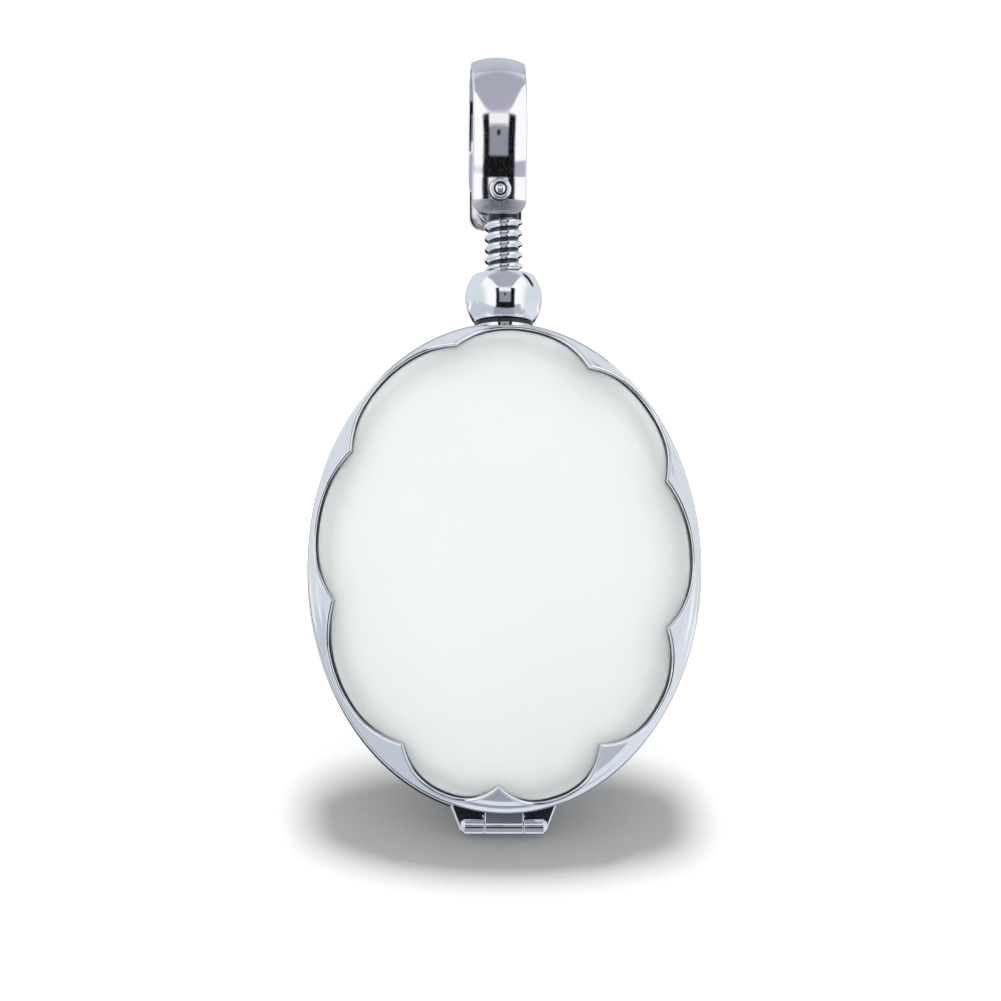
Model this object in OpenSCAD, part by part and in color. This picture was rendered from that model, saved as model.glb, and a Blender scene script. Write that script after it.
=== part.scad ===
/* [Oval case] */
// Width of the oval case over its silver rim
oval_w = 25; // [23:0.1:28]
// Height of the oval case over its silver rim
oval_h = 31.3; // [29:0.1:35]
// Distance of the case's middle below the inner top of the bail
case_drop = 32.65; // [31.5:0.05:32.7]
// Height of the straight side wall of each half, from the parting plane
side_h = 1; // [0.8:0.05:1.2]
// Thickness of the silver side wall
wall = 0.28; // [0.24:0.01:0.32]
// Thickness of the silver lip that is pressed over the glass
lip = 0.38; // [0.3:0.02:0.6]
// How far the points between the lobes reach over the glass, as a factor of the table's width
point_scale = 1; // [0.8:0.05:1.2]
// How sharp the points are, from round to thin
point_sharpness = 2.3; // [1.6:0.1:3.5]

/* [Glass domes] */
// Rise of each glass dome above its own rim
dome_rise = 3.9; // [3:0.1:6]
// Thickness of the glass
glass_t = 1.1; // [0.8:0.1:1.4]
// Gap between the glass and the silver around it
glass_gap = 0.06; // [0.05:0.01:0.08]

/* [Ball nut and stem] */
// Diameter of the ball nut
ball_d = 5; // [4.4:0.1:5.6]
// Height of the ball nut between its two flats
ball_h = 3.1; // [2.6:0.1:3.4]
// Outside diameter of the thread
thread_d = 2.5; // [2.2:0.1:2.6]
// Depth of the thread on each side
thread_depth = 0.25; // [0.15:0.05:0.3]
// Pitch of the thread
pitch = 0.72; // [0.6:0.02:0.8]

/* [Bail] */
// Width of the bail's strip
bail_w = 3.5; // [3:0.1:4]
// Thickness of the strip along its middle
bail_t = 0.85; // [0.7:0.05:1]
// Thickness of the strip at its edges
bail_edge_t = 0.4; // [0.3:0.05:0.6]
// Half of the width inside the bail's loop
loop_r = 2.5; // [2.4:0.05:2.7]
// Height of the loop's bend inside, over its widest place
loop_h = 4.3; // [3.6:0.1:4.6]
// Diameter of the rivet through the legs
rivet_d = 1; // [0.8:0.05:1.1]
// Diameter of the rivet's round heads
rivet_head_d = 1.5; // [1.3:0.05:1.8]

/* [Hinge] */
// Length of the hinge barrel at the foot of the case
barrel_l = 5.44; // [5:0.1:6]
// Diameter of the hinge barrel
barrel_d = 1.04; // [0.96:0.02:1.1]
// Diameter of the hinge pin
pin_d = 0.52; // [0.4:0.02:0.56]

/* [Hidden] */
$fn = 48;

// The gap around a fixed part in its hole, and around one that is put in and taken out
fit = 0.02;
run = 0.06;

// Half axes of the outline, and of the rim of the glass inside the side wall
a = oval_w / 2;
b = oval_h / 2;
glass_in = wall + glass_gap;
glass_a = a - glass_in;
glass_b = b - glass_in;
// The height of the rim of the glass above the parting plane, where its dome starts, and how full the dome is
rim_over_side = 0.2;
rim_top = side_h + rim_over_side;
dome_power = 2.4;
// The ledge that carries the glass, and the rim of the glass above it
ledge_in = wall + lip;
ledge_top = 0.5;
seat_gap = 0.04;
rim_bottom = ledge_top + seat_gap;
// Half of the slit between the two halves of the case, and how far soldered parts stand back from it
slit = 0.03;
set_back = 0.02;

// The scalloped lip, seen from the front and anticlockwise from the right
ANGLE = 0;
POINT = 1;
LOBE = 2;
LIP = [
    // angle of a point round the oval, the lip's width there, and its width in the middle of the next lobe
    [21.5, 1.65, 0.42],
    [61, 1.5, 0.5],
    [107, 1.22, 0.44],
    [151.5, 1.3, 0.5],
    [190, 1.48, 0.48],
    [233, 1.52, 0.48],
    [267, 1.7, 0.49],
    [304.5, 2.0, 0.65],
    [343, 1.98, 0.75]
];
lobe_steps = 12;
lobe_count = len(LIP);

// The rounded shoulder between the side wall and the lip: how far in and how far up it goes
shoulder_in = 0.75;
shoulder_up = 1.2;
// Where the section's points stand: outside over the lip's width, inside over the part that covers the glass
OUTER_STEPS = [0, 0.05, 0.15, 0.35, 0.62, 1];
INNER_STEPS = [1, 0.6, 0.3, 0.1];
inner_start = wall + fit;

// Heights along the stem, below the bail's inner top
case_top = b - case_drop;
collar_h = 0.26;
collar_top = case_top + collar_h;
ball_gap = 0.04;
ball_mid = collar_top + ball_gap + ball_h / 2;
rivet_z = -8.5;
rivet_x = -0.4;
head_r = 1.3;
head_l = 3;
neck_step = 0.05;
neck_d = thread_d - 2 * neck_step;
neck_l = 1.6;
thread_top = rivet_z - neck_l;
thread_foot = collar_top + fit;
collar_r = 1.9;
collar_sink = 0.25;
boss_r = 1.25;
boss_foot = case_top - wall + fit;
spigot_foot = case_top - wall / 2;
spigot_r = 0.8;
thread_sides = 24;
THREAD_SHAPE = [0, 1, 1, 0];

// The bail's legs
leg_gap = 0.15;
leg_y = head_l / 2 + leg_gap;
leg_bend_z = -7.7;
front_leg_z = -9.9;
rear_leg_z = -10.2;
leg_corner_r = 0.8;
arc_steps = 16;
crown_steps = 8;
rivet_head_h = 0.35;

// The hinge
hinge_drop = 0.7;
hinge_z = -case_drop - b - hinge_drop;
middle_l = 2.42;
knuckle_gap = 0.04;
leaf_top_x = 3.5;
leaf_t = 0.57;
leaf_sink = 0.2;
lug_t = 0.49;
lug_h = 0.9;
leaf_steps = 4;
pin_run = 0.03;
barrel_clear = 0.07;

// How far a cutting shape goes on past what it cuts
well_past = 2;

// A point of the oval, moved in from the outline
function outline(t) = [a * cos(t), b * sin(t)];
function outward(t) = let (n = [cos(t) / a, sin(t) / b]) n / norm(n);
function inside(t, in) = outline(t) - in * outward(t);

// The height of the glass over the parting plane, over a point of the oval
function glass_q(p) = min(1, norm([p[0] / glass_a, p[1] / glass_b]));
function fullness(q) = sqrt(1 - pow(q, dome_power));
function glass_h(p) = rim_top + dome_rise * fullness(glass_q(p));

// A place on the silver: the angle round the oval, the distance in from the outline, and the height
function place(t, in, h) = let (p = inside(t, in)) [p[0], -h, p[1]];
// The same on the silver's underside, which stands off the glass sideways too, for where the glass is steep
function under_silver(t, in) = place(t, in, glass_h(inside(t, in + glass_gap / 2)) + glass_gap);

// The stations round the oval, each as its angle and the width of the lip there
WIDTH = 1;
function mixed(low, high, u) = low + (high - low) * u;
function point_shape(u) = pow(abs(2 * u - 1), point_sharpness);
function station(i, u) =
    let (this = LIP[i], next = LIP[(i + 1) % lobe_count])
    let (turn = i + 1 < lobe_count ? 0 : 360)
    let (past = mixed(this[POINT], next[POINT], u) * point_scale - this[LOBE])
    [mixed(this[ANGLE], next[ANGLE] + turn, u), this[LOBE] + past * point_shape(u)];
stations = [for (i = [0:lobe_count - 1]) for (k = [0:lobe_steps - 1]) station(i, k / lobe_steps)];

// The height of the silver's outside over a point: the round shoulder, or the glass and the lip on it
function shoulder_h(in) = side_h + shoulder_up * sqrt(1 - pow(max(0, 1 - in / shoulder_in), 2));
function outer_h(t, in) = max(shoulder_h(in), glass_h(inside(t, in)) + glass_gap + lip);

// The section of a bezel at a station, from the parting plane up outside, over the lip and down inside
function bezel_section(s) =
    let (t = s[ANGLE], edge = s[WIDTH])
    concat(
        [place(t, 0, slit)],
        [for (u = OUTER_STEPS) place(t, u * edge, outer_h(t, u * edge))],
        [for (u = INNER_STEPS) under_silver(t, mixed(inner_start, edge, u))],
        [place(t, wall, rim_top), place(t, wall, ledge_top)],
        [place(t, ledge_in, ledge_top), place(t, ledge_in, slit)]
    );

// The triangles of a grid of points that closes on itself both ways: n rows of m points
function ring_faces(n, m) = [
    for (i = [0:n - 1]) for (k = [0:m - 1])
        let (i2 = (i + 1) % n, k2 = (k + 1) % m)
        each [[i * m + k, i2 * m + k2, i2 * m + k], [i * m + k, i * m + k2, i2 * m + k2]]
];

// The triangles of n rows of m points, each row closed, with a last point that ends each side
function capped_faces(n, m) = concat(
    [for (i = [0:n - 2]) for (k = [0:m - 1])
        let (k2 = (k + 1) % m)
        each [[i * m + k, i * m + k2, (i + 1) * m + k2], [i * m + k, (i + 1) * m + k2, (i + 1) * m + k]]],
    [for (k = [0:m - 1]) [n * m, (k + 1) % m, k]],
    [for (k = [0:m - 1]) [n * m + 1, (n - 1) * m + k, (n - 1) * m + (k + 1) % m]]
);

// One scalloped oval frame, in front of the parting plane
module bezel_ring() {
    rows = [for (s = stations) bezel_section(s)];
    points = [for (row = rows) each row];
    translate([0, 0, -case_drop]) polyhedron(points, ring_faces(len(rows), len(rows[0])), convexity = 8);
}

// One glass dome, in front of the parting plane: its outer face from the top down, its rim, its inner face
glass_sides = 72;
OUTER_RINGS = [0.14, 0.36, 0.58, 0.76, 0.88, 0.95, 0.985, 1];
INNER_RINGS = [1, 0.97, 0.88, 0.7, 0.45, 0.16];
inner_rise = rim_top + dome_rise - glass_t - rim_bottom;
function glass_ring(half_w, half_h, h) =
    [for (k = [0:glass_sides - 1]) let (t = 360 * k / glass_sides) [half_w * cos(t), -h, half_h * sin(t)]];
module glass_dome() {
    outer = [for (q = OUTER_RINGS)
        glass_ring(q * glass_a, q * glass_b, rim_top + dome_rise * fullness(q))];
    rim = [glass_ring(glass_a, glass_b, rim_bottom)];
    inner = [for (q = INNER_RINGS)
        glass_ring(q * (glass_a - glass_t), q * (glass_b - glass_t), rim_bottom + inner_rise * fullness(q))];
    rows = concat(outer, rim, inner);
    tops = [[0, -rim_top - dome_rise, 0], [0, -rim_bottom - inner_rise, 0]];
    points = concat([for (row = rows) each row], tops);
    translate([0, 0, -case_drop]) polyhedron(points, capped_faces(len(rows), glass_sides), convexity = 6);
}

// Half of the flat collar that the ball nut bears on, in front of the parting plane
module half_collar() {
    intersection() {
        translate([0, 0, case_top - collar_sink]) cylinder(h = collar_h + collar_sink, r = collar_r);
        translate([-collar_r, -collar_r - slit - set_back, case_top - collar_sink])
            cube([2 * collar_r, collar_r, well_past]);
    }
}

// A bar along X that turns round the hinge's axis
module hinge_bar(d, l, x = 0) {
    translate([x, 0, hinge_z]) rotate([0, 90, 0]) cylinder(h = l, d = d, center = true);
}

// The back half's hinge leaf, whose top follows the outline of the case
module hinge_leaf() {
    half_angle = asin(leaf_top_x / a);
    top = [for (k = [-leaf_steps:leaf_steps])
        inside(270 + half_angle * k / leaf_steps, leaf_sink) - [0, case_drop]];
    foot = hinge_z - barrel_d / 2;
    sides = [[barrel_l / 2, foot], [-barrel_l / 2, foot]];
    translate([0, slit + set_back + leaf_t, 0]) rotate([90, 0, 0])
        linear_extrude(leaf_t) polygon(concat(top, sides));
}

module back_bezel() {
    outer_l = (barrel_l - middle_l) / 2 - knuckle_gap;
    outer_x = (barrel_l - outer_l) / 2;
    notch_l = middle_l + 2 * knuckle_gap;
    color("silver") difference() {
        union() {
            mirror([0, 1, 0]) bezel_ring();
            mirror([0, 1, 0]) half_collar();
            translate([0, 0, boss_foot]) cylinder(h = collar_top - boss_foot, r = boss_r);
            difference() {
                hinge_leaf();
                translate([-notch_l / 2, -well_past, hinge_z - well_past])
                    cube([notch_l, 2 * well_past, well_past + barrel_d / 2 + barrel_clear]);
            }
            hinge_bar(barrel_d, outer_l, outer_x);
            hinge_bar(barrel_d, outer_l, -outer_x);
        }
        translate([0, 0, spigot_foot - fit]) cylinder(h = well_past, r = spigot_r + fit);
        hinge_bar(pin_d + 2 * fit, barrel_l + well_past);
    }
}

module front_bezel() {
    color("silver") difference() {
        union() {
            difference() {
                union() {
                    bezel_ring();
                    half_collar();
                }
                translate([0, 0, boss_foot - run]) cylinder(h = well_past, r = boss_r + run);
            }
            translate([-middle_l / 2, -lug_t - slit, hinge_z])
                cube([middle_l, lug_t - set_back, lug_h]);
            hinge_bar(barrel_d, middle_l);
        }
        hinge_bar(pin_d + 2 * pin_run, barrel_l);
    }
}

module back_glass() {
    color("lightcyan", 0.5) mirror([0, 1, 0]) glass_dome();
}

module front_glass() {
    color("lightcyan", 0.5) glass_dome();
}

module hinge_pin() {
    color("gainsboro") hinge_bar(pin_d, barrel_l);
}

module ball_nut() {
    color("silver") difference() {
        intersection() {
            translate([0, 0, ball_mid]) sphere(d = ball_d);
            translate([0, 0, ball_mid]) cube([ball_d + well_past, ball_d + well_past, ball_h], center = true);
        }
        translate([0, 0, ball_mid]) cylinder(h = ball_h + well_past, d = thread_d + 2 * run, center = true);
    }
}

// The thread as one closed skin: a row of points climbs by one pitch in a turn and joins the next such row
module thread_skin(turns) {
    per_turn = len(THREAD_SHAPE);
    rows = per_turn * turns;
    root_r = thread_d / 2 - thread_depth;
    function skin_point(row, side) =
        let (r = root_r + thread_depth * THREAD_SHAPE[row % per_turn], t = 360 * side / thread_sides)
        [r * cos(t), r * sin(t), pitch * (row / per_turn + side / thread_sides)];
    points = concat(
        [for (row = [0:rows + per_turn]) for (side = [0:thread_sides - 1]) skin_point(row, side)],
        [[0, 0, 0], [0, 0, pitch * (rows / per_turn + 1)]]
    );
    foot = (rows + per_turn + 1) * thread_sides;
    top = foot + 1;
    function at(row, side) =
        side < thread_sides ? row * thread_sides + side : (row + per_turn) * thread_sides;
    walls = [for (row = [0:rows - 1]) for (side = [0:thread_sides - 1]) each [
        [at(row, side), at(row + 1, side), at(row + 1, side + 1)],
        [at(row, side), at(row + 1, side + 1), at(row, side + 1)]
    ]];
    foot_cap = [for (side = [0:thread_sides - 1]) [foot, at(0, side), at(0, side + 1)]];
    foot_step = [for (row = [0:per_turn - 1]) [foot, at(row + 1, 0), at(row, 0)]];
    top_cap = [for (side = [0:thread_sides - 1]) [top, at(rows, side + 1), at(rows, side)]];
    top_step = [for (row = [rows:rows + per_turn - 1]) [top, at(row, 0), at(row + 1, 0)]];
    polyhedron(points, concat(walls, foot_cap, foot_step, top_cap, top_step), convexity = 20);
}

module threaded_stem() {
    thread_l = thread_top - thread_foot;
    turns = floor(thread_l / pitch) - 1;
    plain_l = (thread_l - (turns + 1) * pitch) / 2;
    core_d = thread_d - 2 * thread_depth + set_back;
    color("silver") difference() {
        union() {
            translate([0, 0, thread_foot + plain_l]) thread_skin(turns);
            translate([0, 0, thread_foot]) cylinder(h = plain_l + pitch, d = core_d);
            translate([0, 0, spigot_foot])
                cylinder(h = thread_foot - spigot_foot + plain_l, r = spigot_r);
            translate([0, 0, thread_top - plain_l - pitch]) cylinder(h = plain_l + pitch, d = core_d);
            translate([0, 0, thread_top]) cylinder(h = rivet_z - thread_top, d = neck_d);
            translate([rivet_x, 0, rivet_z]) rotate([90, 0, 0]) cylinder(h = head_l, r = head_r, center = true);
        }
        translate([rivet_x, 0, rivet_z]) rotate([90, 0, 0])
            cylinder(h = head_l + well_past, d = rivet_d + 2 * pin_run, center = true);
    }
}

// The inner line of the bail as y and z, from the end of its front leg, over the top, to the end of its rear leg
CORNER_STEPS = [0, 0.12, 0.4, 0.8, 1];
UP = 0;
OUT = 1;
BOW = [
    // share of the way up from the bend to the side of the loop, share of the way out
    [0, 0],
    [0.045, 0.035],
    [0.36, 0.53],
    [0.54, 0.75],
    [0.71, 0.9],
    [0.86, 0.977]
];
function leg_line(end_z) = concat(
    [for (d = CORNER_STEPS) [leg_y, end_z + d * leg_corner_r]],
    [for (row = BOW) [mixed(leg_y, loop_r, row[OUT]), mixed(leg_bend_z, -loop_h, row[UP])]]
);
front_line = [for (p = leg_line(front_leg_z)) [-p[0], p[1]]];
loop_line = [for (k = [0:arc_steps])
    let (t = 180 - 180 * k / arc_steps)
    [loop_r * cos(t), loop_h * (sin(t) - 1)]];
rear_leg = leg_line(rear_leg_z);
rear_line = [for (k = [len(rear_leg) - 1:-1:0]) rear_leg[k]];
bail_line = concat(front_line, loop_line, rear_line);

// The rows of the bail: y, z, the direction of the outside in degrees, and the distance to the end of the leg
function bail_row(k) =
    let (here = bail_line[k], last = len(bail_line) - 1)
    let (way = bail_line[min(last, k + 1)] - bail_line[max(0, k - 1)])
    let (end_z = 2 * k < last ? front_leg_z : rear_leg_z)
    [here[0], here[1], atan2(way[0], -way[1]), here[1] - end_z];
bail_rows = [for (k = [0:len(bail_line) - 1]) bail_row(k)];

// The section of the strip: flat inside, domed outside, and narrower in the rounded corners of its ends
function half_width(to_end) =
    let (short = max(0, leg_corner_r - to_end))
    bail_w / 2 - leg_corner_r + sqrt(max(0, leg_corner_r * leg_corner_r - short * short));
function strip_t(x) = bail_edge_t + (bail_t - bail_edge_t) * (1 - pow(2 * x / bail_w, 2));
function strip_point(row, x, t) =
    [x + rivet_x, row[0] + t * cos(row[2]), row[1] + t * sin(row[2])];
function strip_section(row) =
    let (half = half_width(row[3]))
    concat(
        [strip_point(row, -half, 0), strip_point(row, half, 0)],
        [for (k = [0:crown_steps])
            let (x = half * cos(180 * k / crown_steps))
            strip_point(row, x, strip_t(x))]
    );
module bail() {
    rows = [for (row = bail_rows) strip_section(row)];
    m = len(rows[0]);
    n = len(rows);
    points = [for (row = rows) each row];
    sides = [for (i = [0:n - 2]) for (k = [0:m - 1]) let (k2 = (k + 1) % m)
        each [[i * m + k, i * m + k2, (i + 1) * m + k2], [i * m + k, (i + 1) * m + k2, (i + 1) * m + k]]];
    ends = [[for (k = [m - 1:-1:0]) k], [for (k = [0:m - 1]) (n - 1) * m + k]];
    color("silver") difference() {
        polyhedron(points, concat(sides, ends), convexity = 8);
        translate([rivet_x, 0, rivet_z]) rotate([90, 0, 0])
            cylinder(h = 4 * leg_y, d = rivet_d + 2 * fit, center = true);
    }
}

module rivet_head() {
    round_r = rivet_head_d / 2;
    cap_r = (round_r * round_r + rivet_head_h * rivet_head_h) / (2 * rivet_head_h);
    intersection() {
        translate([0, 0, rivet_head_h - cap_r]) sphere(r = cap_r);
        cylinder(h = rivet_head_h + well_past, r = round_r);
    }
}

module bail_rivet() {
    seat = leg_y + bail_t + fit;
    color("gainsboro") translate([rivet_x, 0, rivet_z]) union() {
        rotate([90, 0, 0]) cylinder(h = 2 * seat + rivet_head_h / 2, d = rivet_d, center = true);
        rotate([90, 0, 0]) translate([0, 0, seat]) rivet_head();
        rotate([-90, 0, 0]) translate([0, 0, seat]) rivet_head();
    }
}

bail();
bail_rivet();
threaded_stem();
ball_nut();
back_bezel();
back_glass();
front_bezel();
front_glass();
hinge_pin();
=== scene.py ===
from math import asin, atan2, cos, hypot, pi, radians, sin, sqrt

import bmesh
import bpy
from bpy.props import FloatProperty, FloatVectorProperty, IntProperty, PointerProperty
from bpy.types import Operator, Panel, PropertyGroup
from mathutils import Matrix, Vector


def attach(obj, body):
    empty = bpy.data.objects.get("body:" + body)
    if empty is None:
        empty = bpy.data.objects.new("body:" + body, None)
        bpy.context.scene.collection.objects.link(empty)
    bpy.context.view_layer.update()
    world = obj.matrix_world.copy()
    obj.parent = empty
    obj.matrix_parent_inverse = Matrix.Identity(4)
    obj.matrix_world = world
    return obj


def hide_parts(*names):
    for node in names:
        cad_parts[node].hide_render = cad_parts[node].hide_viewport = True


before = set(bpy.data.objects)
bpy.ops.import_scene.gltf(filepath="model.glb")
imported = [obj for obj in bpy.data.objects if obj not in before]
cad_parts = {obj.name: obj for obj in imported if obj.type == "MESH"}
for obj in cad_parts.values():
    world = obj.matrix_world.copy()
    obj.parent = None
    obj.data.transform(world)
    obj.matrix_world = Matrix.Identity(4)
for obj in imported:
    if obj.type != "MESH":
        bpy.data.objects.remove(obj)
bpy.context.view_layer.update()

bl_info = {
    "name": "Glass Dome Locket",
    "version": (1, 0, 0),
    "blender": (4, 5, 0),
    "location": "View3D > Sidebar > Locket",
    "description": "Builds the looks of an oval glass dome locket over its construction",
    "category": "Object",
}

MM = 0.001

# The scalloped lip, seen from the front and anticlockwise from the right. Each row holds a point's angle round the
# oval, the lip's width at the point and at the middle of the lobe after it, in mm, and how sharp the point is
LIP = (
    (21.5, 1.65, 0.42, 2.3),
    (61, 1.50, 0.50, 2.3),
    (107, 1.22, 0.44, 2.3),
    (151.5, 1.30, 0.50, 2.3),
    (190, 1.48, 0.48, 2.2),
    (233, 1.52, 0.48, 2.2),
    (267, 1.70, 0.49, 2.6),
    (304.5, 2.00, 0.65, 2.4),
    (343, 1.98, 0.75, 2.3),
)

# The rounded shoulder between the side wall and the lip: how far in and how far up it goes
SHOULDER_IN = 0.75 * MM
SHOULDER_UP = 1.2 * MM

# How the bail's legs bow out, as the share of the way up from the bend to the side of the loop and the share of the
# way out
BOW = ((0, 0), (0.05, 0.025), (0.12, 0.115), (0.36, 0.53), (0.54, 0.75), (0.71, 0.9), (0.86, 0.977), (1, 1))

# The distances from the end of a leg at which its rounded corners are drawn, in mm
LEG_ROWS = (0, 0.02, 0.06, 0.12, 0.2, 0.3, 0.45, 0.6, 0.8)

# A rivet head from its rim to its middle, as shares of its radius and of its height: a rounded rim, a turned ring and
# a low button
RIVET_HEAD = (
    (1.0, 0.0), (1.0, 0.3), (0.93, 0.55), (0.82, 0.72), (0.7, 0.78), (0.6, 0.74),
    (0.54, 0.6), (0.49, 0.6), (0.42, 0.8), (0.3, 0.93), (0.16, 0.99),
)

# The end of the hinge pin, as shares of its radius and how far each stands back from the tip, in mm
PIN_END = ((0.5, 0), (0.8, 0.01), (0.95, 0.04), (1.0, 0.09))

# The gap round a part that is fixed in its hole, and round one that turns on its pin
FIT = 0.02 * MM
RUN = 0.03 * MM

# How far soldered parts stand back from the slit between the two halves
SET_BACK = 0.02 * MM

# The places of a frame's other metals in its list, after the polished silver, and that of a piece with only two
# the other metals are silver painted with shade; the bail's second metal is satin with a painted grey reflection
STEP_SHADE, DEEP_SHADE, LUG_SHADE = 1, 2, 3
SECOND = 1

# The finishes of the silver: how rough it is between its marks and on them, and how strong the marks are
SILVERS = {
    "polished": (0.05, 0.11, 0.06),
    # satin is rough, and its darker grey colour is a painted grey reflection
    "satin": (0.26, 0.44, 0.2),
    # painted mid grey shade on the hinge's lug
    "lug_shade": (0.28, 0.45, 0.3),
    # painted dark shade in the step between the lip and the glass
    "step_shade": (0.3, 0.45, 0.2),
    # painted near black shade in slits, grooves and under parts
    "deep_shade": (0.25, 0.42, 0.2),
}

# The paper under the locket from front to back: its depth and its height in mm. It passes just under the hinge
PAPER_LINE = ((-40, -76.0), (-12, -59.2), (0, -50.15), (12, -41.0), (22, -35.0), (40, -30.0))

# The patches of the light tent in the order in which they are laid: the left, right, lower and upper edge in degrees,
# how soft the edges are, and the colour. Upper and lower are counted from the front, over the top, to the back at 180
TENT_PATCHES = (
    # the pale floor, and two grey cards low on the right
    (-80, 80, -170, -44, 3.0, "#DAE2E9"),
    (20, 48, -60, -28, 3.0, "#B4B1C0"),
    (36, 58, -105, -58, 4.0, "#B4B8C4"),
    # the floor in shade, at the left and under the front opening
    (-80, -12, -170, -36, 3.0, "#C0CAD3"),
    (-30, 26, -100, -36, 4.0, "#959DA8"),
    # the dark front opening, with a bright card, a grey card and a small dark hole in it
    (-26, 29, -38, 25, 2.0, "#060608"),
    (-16, 17, 11.5, 25, 2.0, "#F2F2F6"),
    (-16, 17, -19, 11.5, 2.0, "#8E919B"),
    (-3, 3, 0, 7, 1.2, "#101014"),
)


def size(name, description, mm):
    """A length property whose default is given in millimetres."""
    return FloatProperty(name=name, description=description, default=mm * MM, unit="LENGTH", precision=5)


def angle(name, description, degrees):
    """An angle property whose default is given in degrees."""
    return FloatProperty(name=name, description=description, default=radians(degrees), subtype="ANGLE")


def linear(code):
    """The linear colour of a web colour such as "#C0C0C8"."""
    parts = [int(code[k:k + 2], 16) / 255 for k in (1, 3, 5)]
    return tuple(p / 12.92 if p <= 0.04045 else ((p + 0.055) / 1.055) ** 2.4 for p in parts) + (1.0,)


def colour(name, description, code):
    """A colour property whose default is given as a web colour."""
    return FloatVectorProperty(
        name=name, description=description, default=linear(code), size=4, min=0, max=1, subtype="COLOR"
    )


class LocketCase(PropertyGroup):
    """The two oval silver frames."""

    width: size("Width", "Width of the oval case", 25)
    height: size("Height", "Height of the oval case", 31.3)
    middle: size("Middle", "Height of the middle of the case in the frame", -32.65)
    side: size("Side wall", "Height of the straight side of each half", 1)
    wall: size("Wall", "Thickness of the side wall", 0.28)
    lip: size("Lip", "Thickness of the lip over the glass", 0.36)
    ledge: size("Ledge", "Height of the ledge that carries the glass", 0.5)
    slit: size("Slit", "Half of the slit between the two halves", 0.03)
    bead: size("Bead", "Radius of the bright bead along the lip's edge", 0.14)
    # the step is painted dark as shade
    step: size("Step", "Width of the dark step between the bead and the glass", 0.07)
    collar_r: size("Collar radius", "Radius of the flat collar under the ball nut", 1.9)
    collar_top: size("Collar top", "Height of the collar's top in the frame", -16.74)
    lobe_steps: IntProperty(name="Steps", description="Sections of the lip in each lobe", default=44)


class LocketGlass(PropertyGroup):
    """The two glass domes."""

    rise: size("Rise", "Rise of a dome over its own rim", 3.9)
    thickness: size("Thickness", "Thickness of the glass", 1.1)
    gap: size("Gap", "Gap between glass and silver", 0.06)
    rim_foot: size("Foot of the rim", "Height of the rim's foot over the parting plane", 0.54)
    rim_top: size("Top of the rim", "Height over the parting plane at which the dome starts", 1.2)
    fullness: FloatProperty(name="Fullness", description="Higher is flatter in the middle", default=2.4)


class LocketBail(PropertyGroup):
    """The bent strip with two legs, and its rivet."""

    width: size("Width", "Width of the strip", 3.5)
    middle_t: size("Thickness", "Thickness along the strip's middle", 0.85)
    edge_t: size("Edge", "Thickness at the strip's edges", 0.48)
    loop_r: size("Loop half width", "Half of the width inside the loop", 2.5)
    loop_h: size("Loop height", "Height of the loop's bend inside, over its widest place", 4.3)
    leg_y: size("Leg distance", "Distance of the legs' inner faces from the middle", 1.65)
    bend_z: size("Bend", "Height of the bend over the legs", -7.7)
    front_z: size("Front end", "Height of the front leg's end", -9.9)
    rear_z: size("Rear end", "Height of the rear leg's end", -10.2)
    corner_r: size("Corner radius", "Radius of the corners of the legs' ends", 0.8)
    filed: size("Filed", "How much thinner the ends of the legs are", 0.38)
    filed_l: size("Filed length", "How far up the legs are filed", 0.88)
    # the satin top of the loop also carries a painted grey reflection
    satin_and_painted_grey: size("Rubbed", "How far down from the loop's bend inside its top is satin", 0.72)
    middle_x: size("Sideways", "Place of the strip's middle along X", -0.4)
    rivet_z: size("Rivet height", "Height of the rivet in the frame", -8.5)
    rivet_d: size("Rivet diameter", "Diameter of the rivet's shank", 1)
    head_d: size("Head diameter", "Diameter of the rivet's heads", 1.5)
    head_h: size("Head height", "Height of the rivet's heads", 0.35)


class LocketStem(PropertyGroup):
    """The threaded stem and the ball nut."""

    thread_d: size("Thread diameter", "Outside diameter of the thread", 2.5)
    depth: size("Thread depth", "Depth of the thread", 0.27)
    pitch: size("Pitch", "Climb of the thread in one turn", 0.72)
    top: size("Thread top", "Height at which the thread ends", -9.95)
    foot: size("Thread foot", "Height at which the thread starts", -16.72)
    spigot_foot: size("Spigot foot", "Height of the foot of the soldered spigot", -17.14)
    head_r: size("Head radius", "Radius of the cross barrel on top", 1.3)
    head_l: size("Head length", "Length of the cross barrel on top", 3)
    ball_d: size("Ball diameter", "Diameter of the ball nut", 5)
    ball_h: size("Ball height", "Height of the ball nut between its flats", 3.1)
    ball_z: size("Ball middle", "Height of the ball nut's middle", -15.15)


class LocketHinge(PropertyGroup):
    """The hinge at the foot of the case."""

    axis_z: size("Axis", "Height of the hinge's axis", -49)
    length: size("Length", "Length of the barrel", 5.44)
    diameter: size("Diameter", "Diameter of the barrel", 1.04)
    middle: size("Middle knuckle", "Length of the middle knuckle", 2.42)
    gap: size("Gap", "Gap between two knuckles", 0.04)
    pin_d: size("Pin diameter", "Diameter of the pin", 0.52)
    leaf_x: size("Leaf half width", "Half width of the leaf at the case", 3.5)
    leaf_t: size("Leaf thickness", "Thickness of the leaf", 0.57)
    lug_t: size("Lug thickness", "Thickness of the middle knuckle's lug", 0.47)
    cone: size("Cone", "How much the barrel's two ends are turned down", 0.22)


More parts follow.
